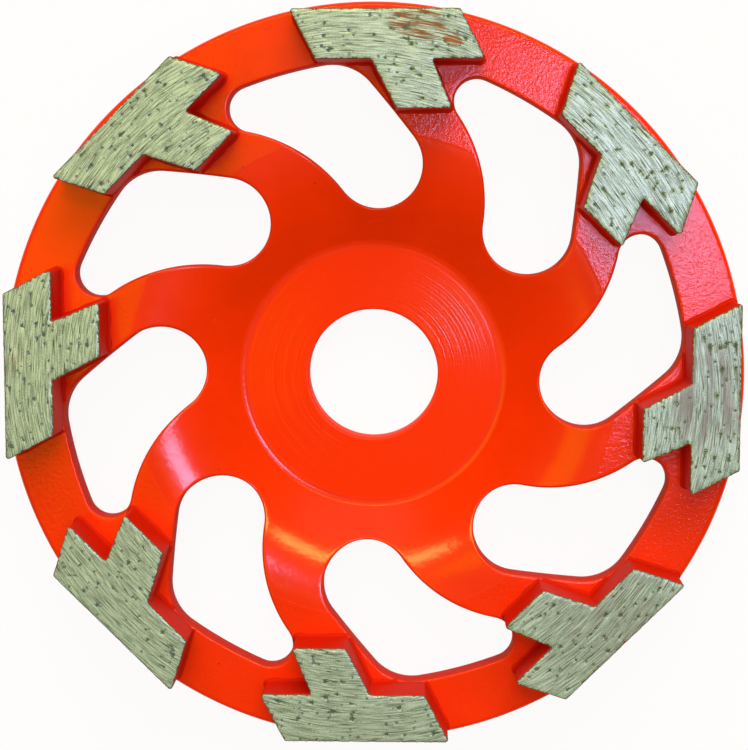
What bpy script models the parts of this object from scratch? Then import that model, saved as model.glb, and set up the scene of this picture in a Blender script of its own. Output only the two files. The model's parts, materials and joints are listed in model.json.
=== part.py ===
"""Diamond cup wheel for an angle grinder, built in metres with +Z up.

The wheel lies on the back face of its hub, so the working face with the segments looks up.
The steel cup is one revolved profile with eight swept windows cut through it, and eight
arrow-shaped diamond segments stand on the flat of its rim.
"""

from math import atan2, cos, pi, radians, sin, sqrt, tan

import bpy
from mathutils import Vector

MM = 0.001

# Wheel
COUNT = 8  # segments, and windows
PITCH = 2 * pi / COUNT
WHEEL_R = 62.5 * MM
BORE_R = 11.115 * MM
TURN_STEPS = 120  # facets around the revolved cup

# Hub
HUB_THICKNESS = 5.0 * MM
HUB_FRONT_R = 23.05 * MM  # foot of the shoulder, where the turned recess begins
HUB_BACK_R = HUB_FRONT_R + 1.25 * MM  # edge of the flat that rests on the ground
LAND_WIDTH = 0.85 * MM  # shallow turned land between the hub's flat and the shoulder
LAND_SLOPE = radians(14.0)
BORE_CHAMFER = 0.3 * MM
BAND = WHEEL_R - HUB_FRONT_R  # from the hub recess to the outside: shoulder, windows and rim

# Rim and shoulder: a flat, a crown that steepens inwards, and a cone that runs on from it
# down to the recess
RIM_TOP_Z = 11.2 * MM
WALL = 4.0 * MM
RIM_EDGE = 0.7 * MM
RIM_FLAT_R = HUB_FRONT_R + 0.4555 * BAND  # inner edge of the flat that carries the segments
CREASE_SLOPE = radians(3.0)  # the crown meets the flat in a faint crease
CONE_SLOPE = radians(27.4)  # and ends at the slope of the cone
CONE_R = HUB_FRONT_R + 0.1127 * BAND  # top of the cone

# Windows: three round corners joined by three long arcs, all in shares of the band. Angles are
# counted from the middle of the segment that stands beside the window.
TIP_POS = (HUB_FRONT_R + 0.665 * BAND, radians(24.3))
TIP_R = 0.0964 * BAND
BROW_POS = (HUB_FRONT_R + 0.544 * BAND, radians(8.7))
BROW_R = 0.2107 * BAND
LOBE_POS = (HUB_FRONT_R + 0.3253 * BAND, radians(-1.5))
LOBE_R = 0.1898 * BAND
OUTER_FLANK_R = 1.8 * BAND
TRAILING_FLANK_R = 5.07 * BAND
SPOKE_FLANK_R = 0.656 * BAND
ARC_STEP = radians(13.0)
CUT_MARGIN = 3.0 * MM  # how far each cutter runs past the steel

# Segments: a bar along the rim with a leg that points to the bore
SEAT_CLEARANCE = 0.3 * MM
SEGMENT_HEIGHT = 8.0 * MM
BAR_LENGTH = 27.7 * MM
BAR_WIDTH = 8.1 * MM
BAR_SHIFT = 0.6 * MM  # middle of the outer edge, sideways from the radius
OUTER_EDGE_POS = WHEEL_R - 1.95 * MM  # the rim shows in front of the straight outer edge
LEG_LENGTH = 7.9 * MM
LEG_ROOT_WIDTH = 9.9 * MM
LEG_FOOT_WIDTH = 9.1 * MM
LEG_SETBACK = 9.1 * MM  # from the trailing end of the bar to the leg
SLANT = 0.52  # sideways shift of both ends per distance towards the bore


def clear_scene():
    for obj in list(bpy.data.objects):
        bpy.data.objects.remove(obj, do_unlink=True)


def new_collection(name):
    collection = bpy.data.collections.new(name)
    bpy.context.scene.collection.children.link(collection)
    return collection


def new_material(name, colour, roughness, metallic):
    material = bpy.data.materials.new(name)
    material.use_nodes = True
    shader = material.node_tree.nodes["Principled BSDF"]
    shader.inputs["Base Color"].default_value = (*colour, 1.0)
    shader.inputs["Roughness"].default_value = roughness
    shader.inputs["Metallic"].default_value = metallic
    return material


def polar(position):
    radius, angle = position
    return radius * Vector((cos(angle), sin(angle)))


def arc_points(centre, start, end, clockwise, step=ARC_STEP):
    """Points from start to just before end, around the centre."""
    first = atan2(start.y - centre.y, start.x - centre.x)
    last = atan2(end.y - centre.y, end.x - centre.x)
    sweep = (first - last) % (2 * pi) if clockwise else (last - first) % (2 * pi)
    sign = -1 if clockwise else 1
    steps = max(2, round(sweep / step))
    radius = (start - centre).length
    points = []
    for i in range(steps):
        angle = first + sign * sweep * i / steps
        points.append(centre + radius * Vector((cos(angle), sin(angle))))
    return points


def profile_arc(centre, radius, first, last, steps):
    """Points on an arc of the profile, both ends included."""
    points = []
    for i in range(steps + 1):
        angle = first + (last - first) * i / steps
        points.append(centre + radius * Vector((cos(angle), sin(angle))))
    return points


def crown(depth, first, last, steps):
    """Points of the shoulder's crown at a depth below its skin, from one slope to another."""
    radius = (RIM_FLAT_R - CONE_R) / (sin(CONE_SLOPE) - sin(CREASE_SLOPE))
    centre = Vector((
        RIM_FLAT_R + radius * sin(CREASE_SLOPE),
        RIM_TOP_Z - radius * cos(CREASE_SLOPE),
    ))
    return profile_arc(centre, radius - depth, pi / 2 + first, pi / 2 + last, steps)


def cup_profile():
    """Closed outline at +X as radius and height: rim flat, outer side, back, bore, hub recess."""
    rim_back_z = RIM_TOP_Z - WALL
    edge_x = WHEEL_R - RIM_EDGE
    points = profile_arc(Vector((edge_x, RIM_TOP_Z - RIM_EDGE)), RIM_EDGE, pi / 2, 0, 3)
    points += profile_arc(Vector((edge_x, rim_back_z + RIM_EDGE)), RIM_EDGE, 0, -pi / 2, 3)
    points += crown(WALL, CREASE_SLOPE, CONE_SLOPE, 5)
    points += [Vector((HUB_BACK_R, 0)), Vector((BORE_R + BORE_CHAMFER, 0))]
    points += [Vector((BORE_R, BORE_CHAMFER)), Vector((BORE_R, HUB_THICKNESS - BORE_CHAMFER))]
    points += [Vector((BORE_R + BORE_CHAMFER, HUB_THICKNESS))]
    land_rise = LAND_WIDTH * tan(LAND_SLOPE)
    points += [Vector((HUB_FRONT_R - LAND_WIDTH, HUB_THICKNESS))]
    points += [Vector((HUB_FRONT_R, HUB_THICKNESS + land_rise))]
    points += crown(0, CONE_SLOPE, CREASE_SLOPE, 6)
    return points


def revolve(name, profile, steps, collection):
    """Turns a closed profile about the Z axis into one closed mesh."""
    mesh = bpy.data.meshes.new(name)
    count = len(profile)
    edges = [(i, (i + 1) % count) for i in range(count)]
    mesh.from_pydata([(p.x, 0, p.y) for p in profile], edges, [])
    obj = bpy.data.objects.new(name, mesh)
    collection.objects.link(obj)
    screw = obj.modifiers.new("Turn", "SCREW")
    screw.axis = "Z"
    screw.angle = 2 * pi
    screw.steps = steps
    screw.render_steps = steps
    screw.use_merge_vertices = True
    screw.merge_threshold = 0.00005
    screw.use_normal_calculate = True
    return obj


def tangent_centre(first, first_reach, second, second_reach, side):
    """Centre that lies at the given distances from two circle centres."""
    span = second - first
    length = span.length
    along = (length**2 + first_reach**2 - second_reach**2) / (2 * length)
    off = sqrt(first_reach**2 - along**2)
    unit = span / length
    return first + unit * along + Vector((-unit.y, unit.x)) * off * side


def towards(origin, target, distance):
    return origin + (target - origin).normalized() * distance


def window_outline():
    """Clockwise outline of one window: outer flank, brow, trailing flank, lobe, spoke, tip."""
    tip, brow, lobe = polar(TIP_POS), polar(BROW_POS), polar(LOBE_POS)
    outer = tangent_centre(tip, OUTER_FLANK_R - TIP_R, brow, OUTER_FLANK_R - BROW_R, -1)
    trailing = tangent_centre(
        brow, TRAILING_FLANK_R - BROW_R, lobe, TRAILING_FLANK_R - LOBE_R, -1
    )
    spoke = tangent_centre(lobe, SPOKE_FLANK_R + LOBE_R, tip, SPOKE_FLANK_R + TIP_R, 1)
    tip_out = towards(outer, tip, OUTER_FLANK_R)
    brow_in = towards(outer, brow, OUTER_FLANK_R)
    brow_out = towards(trailing, brow, TRAILING_FLANK_R)
    lobe_in = towards(trailing, lobe, TRAILING_FLANK_R)
    lobe_out = towards(lobe, spoke, LOBE_R)
    tip_in = towards(tip, spoke, TIP_R)
    points = arc_points(outer, tip_out, brow_in, True, ARC_STEP / 3)
    points += arc_points(brow, brow_in, brow_out, True)
    points += arc_points(trailing, brow_out, lobe_in, True)
    points += arc_points(lobe, lobe_in, lobe_out, True)
    points += arc_points(spoke, lobe_out, tip_in, False, ARC_STEP / 2)
    points += arc_points(tip, tip_in, tip_out, True, ARC_STEP * 1.6)
    return points


def prism(name, outline, bottom, top, collection):
    """Closed prism between two heights over an outline that turns either way."""
    area = 0.0
    for i, point in enumerate(outline):
        area += outline[i - 1].cross(point)
    ring = outline if area > 0 else outline[::-1]
    count = len(ring)
    verts = [(p.x, p.y, bottom) for p in ring] + [(p.x, p.y, top) for p in ring]
    faces = [tuple(range(count))[::-1], tuple(range(count, 2 * count))]
    for i in range(count):
        j = (i + 1) % count
        faces.append((i, j, count + j, count + i))
    mesh = bpy.data.meshes.new(name)
    mesh.from_pydata(verts, [], faces)
    obj = bpy.data.objects.new(name, mesh)
    collection.objects.link(obj)
    return obj


def cutter_collection():
    collection = new_collection("cutters")
    collection.hide_render = True
    return collection


def cut(target, cutter):
    cutter.hide_render = True
    cutter.display_type = "WIRE"
    boolean = target.modifiers.new("Cut " + cutter.name, "BOOLEAN")
    boolean.operation = "DIFFERENCE"
    boolean.solver = "EXACT"
    boolean.object = cutter


def build_body(collection, cutters):
    body = revolve("steel_body", cup_profile(), TURN_STEPS, collection)
    outline = window_outline()
    for i in range(COUNT):
        name = "window_cutter_" + str(i + 1)
        cutter = prism(name, outline, -CUT_MARGIN, RIM_TOP_Z + CUT_MARGIN, cutters)
        cutter.rotation_euler = (0, 0, i * PITCH)
        cut(body, cutter)
    body.data.materials.append(new_material("orange_paint", (0.83, 0.06, 0.002), 0.3, 0.0))
    return body


def segment_outline():
    """Outline around the segment that stands on the +X radius, as distance out and sideways."""
    half = BAR_LENGTH / 2

    def corner(depth, sideways):
        # the ends lean, so every corner drifts with its depth below the outer edge
        return Vector((OUTER_EDGE_POS - depth, sideways - BAR_SHIFT - SLANT * depth))

    leg_side = half - LEG_SETBACK
    foot = BAR_WIDTH + LEG_LENGTH
    return [
        corner(0, half),
        corner(BAR_WIDTH, half),
        corner(BAR_WIDTH, leg_side),
        corner(foot, leg_side),
        corner(foot, leg_side - LEG_FOOT_WIDTH),
        corner(BAR_WIDTH, leg_side - LEG_ROOT_WIDTH),
        corner(BAR_WIDTH, -half),
        corner(0, -half),
    ]


def build_segment(number, collection, material):
    """One segment, standing a hair above the rim flat with its corners inside the rim."""
    bottom = RIM_TOP_Z + SEAT_CLEARANCE
    segment = prism(
        "diamond_segment_" + str(number),
        segment_outline(),
        bottom,
        bottom + SEGMENT_HEIGHT,
        collection,
    )
    segment.rotation_euler = (0, 0, (number - 1) * PITCH)
    segment.data.materials.append(material)
    return segment


def main():
    clear_scene()
    wheel = new_collection("diamond_cup_wheel")
    cutters = cutter_collection()
    build_body(wheel, cutters)
    for number in range(1, COUNT + 1):
        material = new_material("sintered_diamond_" + str(number), (0.38, 0.42, 0.3), 0.5, 0.6)
        build_segment(number, wheel, material)


main()
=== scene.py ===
import json
from math import asin, atan2, ceil, cos, pi, radians, sin, sqrt, tan
from random import Random

import bmesh
import bpy
from bpy.props import FloatProperty, FloatVectorProperty, IntProperty, PointerProperty
from mathutils import Matrix, Vector, noise
from mathutils.geometry import delaunay_2d_cdt

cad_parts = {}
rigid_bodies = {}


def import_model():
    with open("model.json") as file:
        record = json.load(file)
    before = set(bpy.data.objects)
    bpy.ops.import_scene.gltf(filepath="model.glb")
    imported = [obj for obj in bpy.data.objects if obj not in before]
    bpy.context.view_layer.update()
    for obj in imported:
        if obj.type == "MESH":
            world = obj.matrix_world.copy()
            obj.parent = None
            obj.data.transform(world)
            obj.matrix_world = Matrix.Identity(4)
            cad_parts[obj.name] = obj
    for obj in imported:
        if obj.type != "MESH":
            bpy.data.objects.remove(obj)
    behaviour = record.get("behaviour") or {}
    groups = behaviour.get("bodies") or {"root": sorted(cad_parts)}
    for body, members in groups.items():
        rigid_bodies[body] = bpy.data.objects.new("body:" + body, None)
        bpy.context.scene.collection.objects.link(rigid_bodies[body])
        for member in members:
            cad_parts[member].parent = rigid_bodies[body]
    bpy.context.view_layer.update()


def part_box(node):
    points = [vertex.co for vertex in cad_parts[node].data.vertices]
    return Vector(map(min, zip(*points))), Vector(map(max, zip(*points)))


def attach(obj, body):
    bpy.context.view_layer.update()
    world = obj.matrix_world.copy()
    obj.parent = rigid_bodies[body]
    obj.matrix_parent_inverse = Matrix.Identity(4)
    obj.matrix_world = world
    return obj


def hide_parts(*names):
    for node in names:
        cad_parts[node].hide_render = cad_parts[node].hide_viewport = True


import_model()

bl_info = {
    "name": "Diamond Cup Wheel",
    "version": (1, 0, 0),
    "blender": (4, 5, 0),
    "location": "View3D > Sidebar > Cup Wheel",
    "description": "Builds a painted steel cup with swept windows and ground diamond segments",
    "category": "Add Mesh",
}

MM = 0.001
CUP_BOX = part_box("steel_body")
SEGMENT_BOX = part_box("diamond_segment_1")
COUNT = 8
PITCH = 2 * pi / COUNT

# One sector of the cup holds one whole window. Its two straight sides pass between windows.
SECTOR_START = radians(-14.9)
SECTOR_NODES = 48

# Degrees by which the grinding marks of each segment cross the circles outwards
SCRATCH_LEANS = (-2.0, 2.0, 2.5, -0.5, -1.0, -2.0, -2.0, -3.0)
GRIND_RADIUS = 55  # mm, where the map of the grinding marks is true to size

BORE_EDGE = 0.38 * MM
BACK_WINDOW_EDGE = 0.3 * MM
RIM_SHELF = 1.95 * MM  # of bare rim outside the segments
SEGMENT_SHIFT, SEGMENT_SLANT = 0.6 * MM, 0.52  # sideways, and per length towards the bore
WELD = 0.002 * MM
PAINT_RELIEF, METAL_RELIEF = 0.035 * MM, 0.022 * MM
TURNED_FADE = (21.9 * MM, 21.6 * MM)  # radii where the hub's marks begin and are full
GROUND_DROP = 0.05 * MM  # below the CAD top, which leaves room for the crystals
# Top edge of a segment: offset and drop in mm, share of ground metal, wear in mm
TOP_EDGE = (
    (0.0, 0.25, 0.10, 0.05),
    (0.0, 0.12, 0.42, 0.18),
    (-0.01, 0.05, 0.7, 0.32),
    (-0.06, 0.015, 0.86, 0.42),
    (-0.12, 0.0, 1.0, 0.48),
)

TINTS = {
    # lighter orange of the hub, as painted light
    "turned": (1.0, 0.032, 0.0, 1.0),
    "dirt": (0.09, 0.012, 0.004, 1.0),
    "glint": (0.95, 0.14, 0.05, 1.0),
    "bright line": (0.66, 0.80, 0.72, 1.0),
    "score": (0.10, 0.13, 0.075, 1.0),
    "cool": (0.25, 0.235, 0.235, 1.0),
    "rust": (0.27, 0.12, 0.035, 1.0),
    "hot rust": (0.62, 0.085, 0.01, 1.0),
    "hollow": (0.10, 0.16, 0.14, 1.0),
    # painted shade on the rounded rim of the ground faces
    "edge": (0.09, 0.115, 0.085, 1.0),
    "pit": (0.09, 0.14, 0.12, 1.0),
    "horizon": (0.42, 0.26, 0.13, 1.0),
    "overhead": (0.15, 0.125, 0.01, 1.0),
    "sunlight": (1.0, 0.95, 0.84),
}

# Panels: name, place above the rim flat in metres, width and depth, watts, colour
PANELS = (
    ("cool_panel", (0.185, 0.045, 1.0), (0.17, 0.17), 1.42, (0.62, 0.60, 1.0)),
    ("warm_strip", (0.025, 0.885, 2.0), (1.15, 0.20), 9.2, (1.0, 0.86, 0.19)),
    ("gold_panel", (-0.270, 0.045, 1.0), (0.40, 0.27), 0.50, (1.0, 0.78, 0.0)),
    ("amber_panel", (0.031, -0.052, 1.0), (0.045, 0.045), 0.016, (1.0, 0.72, 0.22)),
)
# Lamps without a glint: name, azimuth, elevation and spread in degrees, share of a plain level
SUNS = (("key", 84, 31, 50, 0.32), ("overhead", 84, 82, 70, 0.21))
CAMERA_PLACE = (9.27 * MM, 31.00 * MM, 301.41 * MM)  # from the middle of the rim flat
CAMERA_TILT = (5.79, -1.70)  # degrees about X and Y
SENSOR = 36.0
CAMERA_LENS = 1798.0 * SENSOR / 750.0  # 1798 pixels over the longer side of the photo


class CupSizes(bpy.types.PropertyGroup):
    """Sizes of the steel cup, as in the solids."""

    wheel_radius: FloatProperty(
        name="Wheel Radius", description="Outside of the rim", unit="LENGTH",
        default=(CUP_BOX[1][0] - CUP_BOX[0][0]) / 2,
    )
    rim_top: FloatProperty(
        name="Rim Top", description="Height of the flat that carries the segments",
        unit="LENGTH", default=CUP_BOX[1][2],
    )
    wall: FloatProperty(
        name="Wall", description="Thickness of rim and shoulder", unit="LENGTH", default=4.0 * MM
    )
    flat_radius: FloatProperty(
        name="Flat Radius", description="Inner edge of the rim flat", unit="LENGTH",
        default=41.02 * MM,
    )
    cone_radius: FloatProperty(
        name="Cone Radius", description="Where the crown of the shoulder runs into its cone",
        unit="LENGTH", default=27.5 * MM,
    )
    crease_slope: FloatProperty(
        name="Crease Slope", description="Slope of the crown at the rim flat", unit="ROTATION",
        default=radians(3.0),
    )
    cone_slope: FloatProperty(
        name="Cone Slope", description="Slope of the crown where the cone begins",
        unit="ROTATION", default=radians(27.4),
    )
    recess_radius: FloatProperty(
        name="Recess Radius", description="Foot of the shoulder, where the turned recess begins",
        unit="LENGTH", default=23.05 * MM,
    )
    land_width: FloatProperty(
        name="Land Width", description="Shallow turned land between shoulder and hub",
        unit="LENGTH", default=0.85 * MM,
    )
    land_slope: FloatProperty(
        name="Land Slope", description="Slope of the turned land", unit="ROTATION",
        default=radians(14.0),
    )
    hub_thickness: FloatProperty(
        name="Hub Thickness", description="Height of the hub's working face", unit="LENGTH",
        default=5.0 * MM,
    )
    hub_back_radius: FloatProperty(
        name="Hub Back Radius", description="Edge of the flat that rests on the ground",
        unit="LENGTH", default=24.3 * MM,
    )
    bore_radius: FloatProperty(
        name="Bore Radius", description="Plain bore", unit="LENGTH", default=11.115 * MM
    )
    rim_edge: FloatProperty(
        name="Rim Edge", description="Round on the outside of the rim", unit="LENGTH",
        default=0.7 * MM,
    )
    window_edge: FloatProperty(
        name="Window Edge", description="Round on the edges of the windows", unit="LENGTH",
        default=0.42 * MM,
    )
    groove_depth: FloatProperty(
        name="Groove Depth", description="Depth of the turning marks on the hub",
        unit="LENGTH", default=0.0015 * MM,
    )


class SegmentSizes(bpy.types.PropertyGroup):
    """Sizes of one diamond segment, as in the solids."""

    height: FloatProperty(
        name="Top", description="Height of the ground face above the ground", unit="LENGTH",
        default=SEGMENT_BOX[1][2],
    )
    bar_length: FloatProperty(
        name="Bar Length", description="Length of the bar along the rim", unit="LENGTH",
        default=27.7 * MM,
    )
    bar_width: FloatProperty(
        name="Bar Width", description="Width of the bar towards the bore", unit="LENGTH",
        default=8.1 * MM,
    )
    leg_length: FloatProperty(
        name="Leg Length", description="Length of the leg past the bar", unit="LENGTH",
        default=7.9 * MM,
    )
    bead: FloatProperty(
        name="Bead", description="Round of braze and paint at the foot", unit="LENGTH",
        default=0.5 * MM,
    )
    pits: IntProperty(
        name="Pits", description="Open pits in each ground face", default=30, min=0
    )
    grit_density: FloatProperty(
        name="Grit Density", description="Small crystals per square metre of ground face",
        default=260000.0, min=0.0,
    )


class WheelColours(bpy.types.PropertyGroup):
    """Colours of the wheel and the stage."""

    paint: FloatVectorProperty(
        name="Paint", description="Orange paint on cup and flanks", subtype="COLOR", size=4,
        default=(0.92, 0.030, 0.0, 1.0), min=0.0, max=1.0,
    )
    # darker paint: thin paint on round edges, and painted shade on window walls and segment flanks
    paint_thin_and_shade: FloatVectorProperty(
        name="Thin Paint", description="Paint where it lies thin on edges", subtype="COLOR",
        size=4, default=(0.55, 0.008, 0.0, 1.0), min=0.0, max=1.0,
    )
    metal: FloatVectorProperty(
        name="Ground Metal", description="Freshly ground segment metal", subtype="COLOR",
        size=4, default=(0.575, 0.755, 0.72, 1.0), min=0.0, max=1.0,
    )
    metal_dark: FloatVectorProperty(
        name="Scored Metal", description="Bottom of the grinding marks", subtype="COLOR",
        size=4, default=(0.24, 0.325, 0.285, 1.0), min=0.0, max=1.0,
    )
    floor: FloatVectorProperty(
        name="Floor", description="Pale floor", subtype="COLOR", size=4,
        default=(0.93, 0.93, 0.93, 1.0), min=0.0, max=1.0,
    )


# Shape helpers


def polar(radius, angle):
    return radius * Vector((cos(angle), sin(angle)))


def smooth(low, high, value):
    share = min(1.0, max(0.0, (value - low) / (high - low)))
    return share * share * (3 - 2 * share)


def height_table(outer, height, inner, slope):
    """Heights of a skin from its outer radius inwards, found by following its slope."""
    step = 0.05 * MM
    count = ceil((outer - inner) / step)
    heights = [height]
    for i in range(count):
        heights.append(heights[-1] - step * slope(outer - (i + 0.5) * step))

    def height_at(radius):
        place = min(count - 1e-6, max(0.0, (outer - radius) / step))
        i = int(place)
        return heights[i] + (heights[i + 1] - heights[i]) * (place - i)

    return height_at


def skin_heights(s):
    """Two functions of the radius: height of the working side and of the back."""
    crown = (s.flat_radius - s.cone_radius) / (sin(s.cone_slope) - sin(s.crease_slope))
    centre = s.flat_radius + crown * sin(s.crease_slope)
    fall = cos(s.crease_slope) - cos(s.cone_slope)

    def skin(top, foot_r, foot_z, bend, cone_r, cone_soft, crease_r, crease_soft):
        cone = (top - bend * fall - foot_z) / (cone_r - foot_r)

        def slope(r):
            on_crown = tan(asin(max(0.0, min(0.9, (centre - r) / bend))))
            mixed = cone + (on_crown - cone) * smooth(-cone_soft, cone_soft, r - cone_r)
            return mixed * (1 - smooth(-crease_soft, crease_soft, r - crease_r))

        return height_table(s.wheel_radius, top, foot_r, slope)

    foot_z, inner = s.hub_thickness + s.land_width * tan(s.land_slope), crown - s.wall
    back_cone, back_crease = (centre - inner * sin(a) for a in (s.cone_slope, s.crease_slope))
    front = skin(
        s.rim_top, s.recess_radius, foot_z, crown, s.cone_radius, 0.55 * MM, s.flat_radius,
        0.2 * MM,
    )
    back = skin(
        s.rim_top - s.wall, s.hub_back_radius, 0.0, inner, back_cone, 0.9 * MM, back_crease,
        0.4 * MM,
    )
    return front, back


def tangent_centre(first, first_reach, second, second_reach, side):
    """Centre that lies at the given distances from two circle centres."""
    span = second - first
    length = span.length
    along = (length**2 + first_reach**2 - second_reach**2) / (2 * length)
    off = sqrt(first_reach**2 - along**2)
    unit = span / length
    return first + unit * along + Vector((-unit.y, unit.x)) * off * side


def towards(start, goal, distance):
    return start + (goal - start).normalized() * distance


def window_loop(s, spacing):
    """Clockwise edge of one window: points with the normals that point into the steel."""
    band = s.wheel_radius - s.recess_radius
    tip = polar(s.recess_radius + 0.665 * band, radians(24.3))
    brow = polar(s.recess_radius + 0.544 * band, radians(8.7))
    lobe = polar(s.recess_radius + 0.3253 * band, radians(-1.5))
    tip_r, brow_r, lobe_r = 0.0964 * band, 0.2107 * band, 0.1898 * band
    outer_r, trailing_r, spoke_r = 1.8 * band, 5.07 * band, 0.656 * band
    outer = tangent_centre(tip, outer_r - tip_r, brow, outer_r - brow_r, -1)
    trailing = tangent_centre(brow, trailing_r - brow_r, lobe, trailing_r - lobe_r, -1)
    spoke = tangent_centre(lobe, spoke_r + lobe_r, tip, spoke_r + tip_r, 1)
    tip_out, brow_in = towards(outer, tip, outer_r), towards(outer, brow, outer_r)
    brow_out, lobe_in = (towards(trailing, p, trailing_r) for p in (brow, lobe))
    lobe_out, tip_in = towards(lobe, spoke, lobe_r), towards(tip, spoke, tip_r)
    arcs = (
        (outer, tip_out, brow_in, -1),
        (brow, brow_in, brow_out, -1),
        (trailing, brow_out, lobe_in, -1),
        (lobe, lobe_in, lobe_out, -1),
        (spoke, lobe_out, tip_in, 1),
        (tip, tip_in, tip_out, -1),
    )
    loop = []
    for centre, start, end, turn in arcs:
        radius = (start - centre).length
        first = atan2(start.y - centre.y, start.x - centre.x)
        last = atan2(end.y - centre.y, end.x - centre.x)
        sweep = (turn * (last - first)) % (2 * pi)
        steps = max(4, ceil(sweep * radius / spacing))
        for i in range(steps):
            out = polar(1.0, first + turn * sweep * i / steps)
            loop.append((centre + out * radius, out * -turn))
    return loop


def inside(loop, point):
    """Whether a point lies within a closed outline."""
    x, y = point[0], point[1]
    found = False
    last = loop[-1]
    for corner in loop:
        if (corner[1] > y) != (last[1] > y):
            cross = last[0] + (y - last[1]) * (corner[0] - last[0]) / (corner[1] - last[1])
            if x < cross:
                found = not found
        last = corner
    return found


def clear_of(loops, points, gap):
    """Only those points that keep a distance from every point of the loops."""
    cells = {}
    for loop in loops:
        for p in loop:
            cells.setdefault((int(p[0] // gap), int(p[1] // gap)), []).append(p)
    kept = []
    for p in points:
        i, j = int(p[0] // gap), int(p[1] // gap)
        near = [q for a in (-1, 0, 1) for b in (-1, 0, 1) for q in cells.get((i + a, j + b), ())]
        if all((p[0] - q[0]) ** 2 + (p[1] - q[1]) ** 2 > gap * gap for q in near):
            kept.append(p)
    return kept


def fill_between(loops, points, keep, least=0.0004):
    """Triangles through all points and closed loops, where keep says yes to their middle."""
    coords, edges = [], []
    for loop in loops:
        first, count = len(coords), len(loop)
        coords += [Vector((p[0], p[1])) / MM for p in loop]
        edges += [(first + i, first + (i + 1) % count) for i in range(count)]
    coords += [Vector((p[0], p[1])) / MM for p in points]
    verts, _, faces, _, _, _ = delaunay_2d_cdt(coords, edges, [], 0, 0.0001)
    kept = []
    for face in faces:
        a, b, c = (verts[i] for i in face)
        # points in a line on the border give slivers without area
        if abs((b - a).cross(c - a)) > least and keep((a + b + c) / 3 * MM):
            kept.append(face)
    return [v * MM for v in verts], kept


def point_values(mesh, name, values):
    mesh.attributes.new(name, "FLOAT", "POINT").data.foreach_set("value", values)


class Patchwork:
    """Collects strips and patches of one skin. Their shared points are merged at the end."""

    def __init__(self):
        self.verts, self.faces, self.values = [], [], []

    def strip(self, rows, values, closed=False):
        """Quads between rows of points; each row has one value of the mark attribute."""
        first, count = len(self.verts), len(rows[0])
        for row, value in zip(rows, values):
            self.verts += row
            self.values += [value] * count
        for i in range(len(rows) - 1):
            for j in range(count if closed else count - 1):
                k = (j + 1) % count
                a, b = first + i * count, first + (i + 1) * count
                self.faces.append((a + j, b + j, b + k, a + k))

    def patch(self, verts, faces, value=0.0):
        first = len(self.verts)
        self.verts += verts
        self.values += [value] * len(verts)
        self.faces += [tuple(first + i for i in f) for f in faces]

    def mesh(self, name, attribute):
        mesh = bpy.data.meshes.new(name)
        mesh.from_pydata(self.verts, [], self.faces)
        point_values(mesh, attribute, self.values)
        return mesh


def close_skin(mesh):
    """Merges seams, turns every face outwards and smooths the shading."""
    work = bmesh.new()
    work.from_mesh(mesh)
    bmesh.ops.remove_doubles(work, verts=work.verts, dist=WELD)
    loose = [v for v in work.verts if not v.link_faces]
    bmesh.ops.delete(work, geom=loose, context="VERTS")
    bmesh.ops.recalc_face_normals(work, faces=work.faces)
    open_edges = [e for e in work.edges if len(e.link_faces) != 2]
    if open_edges:
        place = open_edges[0].verts[0].co / MM
        raise RuntimeError("%s has %d open edges, near %s" % (mesh.name, len(open_edges), place))
    if work.calc_volume(signed=True) < 0:
        bmesh.ops.reverse_faces(work, faces=work.faces)
    work.to_mesh(mesh)
    work.free()
    mesh.polygons.foreach_set("use_smooth", [True] * len(mesh.polygons))
    mesh.update()


def new_object(name, mesh):
    obj = bpy.data.objects.new(name, mesh)
    bpy.context.scene.collection.objects.link(obj)
    return obj


# Node helpers


def new_group(name, kind, inputs, outputs):
    """A node group with these named inputs and outputs, and the sockets of its input node."""
    tree = bpy.data.node_groups.new(name, kind)
    for way, sockets in (("INPUT", inputs), ("OUTPUT", outputs)):
        for label, shape, *default in sockets:
            item = tree.interface.new_socket(
                label, in_out=way, socket_type="NodeSocket" + shape
            )
            if default:
                item.default_value = default[0]
    return tree, add(tree, "NodeGroupInput").outputs


def feed(tree, node, values):
    """Fills inputs of a node: a socket is linked, anything else becomes the input's value."""
    for key, value in values.items():
        if isinstance(value, bpy.types.NodeSocket):
            tree.links.new(value, node.inputs[key])
        else:
            node.inputs[key].default_value = value


def add(tree, kind, **settings):
    """A node whose plain settings are attributes and whose inputs are named in 'set'."""
    node = tree.nodes.new(kind)
    inputs = settings.pop("set", {})
    for key, value in settings.items():
        setattr(node, key, value)
    feed(tree, node, inputs)
    return node


def maths(tree, operation, *values, clamp=False):
    node = add(
        tree, "ShaderNodeMath", operation=operation, use_clamp=clamp,
        set=dict(enumerate(values)),
    )
    return node.outputs[0]


def arrange(tree):
    """Sets every node one column to the left of the nodes that it feeds."""
    column = dict.fromkeys(tree.nodes.keys(), 0)
    for _ in tree.nodes:
        for link in tree.links:
            name = link.from_node.name
            column[name] = max(column[name], column[link.to_node.name] + 1)
    filled = {}
    for node in tree.nodes:
        place = column[node.name]
        node.location = (-220 * place, -280 * filled.get(place, 0))
        filled[place] = filled.get(place, 0) + 1


def set_through(obj, tree, values):
    """Runs a Geometry Nodes tree on an object and keeps the result as its plain mesh."""
    modifier = obj.modifiers.new(tree.name, "NODES")
    modifier.node_group = tree
    for item in tree.interface.items_tree:
        if item.item_type == "SOCKET" and item.in_out == "INPUT" and item.name in values:
            modifier[item.identifier] = values[item.name]
    depsgraph = bpy.context.evaluated_depsgraph_get()
    mesh = bpy.data.meshes.new_from_object(
        obj.evaluated_get(depsgraph), preserve_all_data_layers=True, depsgraph=depsgraph
    )
    obj.modifiers.remove(modifier)
    mesh.name = obj.name
    obj.data = mesh


def finish_tree(tree, geometry, material):
    """Ends a Geometry Nodes tree by setting its material."""
    painted = add(
        tree, "GeometryNodeSetMaterial", set={"Geometry": geometry, "Material": material}
    )
    add(tree, "NodeGroupOutput", set={0: painted.outputs[0]})
    arrange(tree)
    return tree


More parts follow.
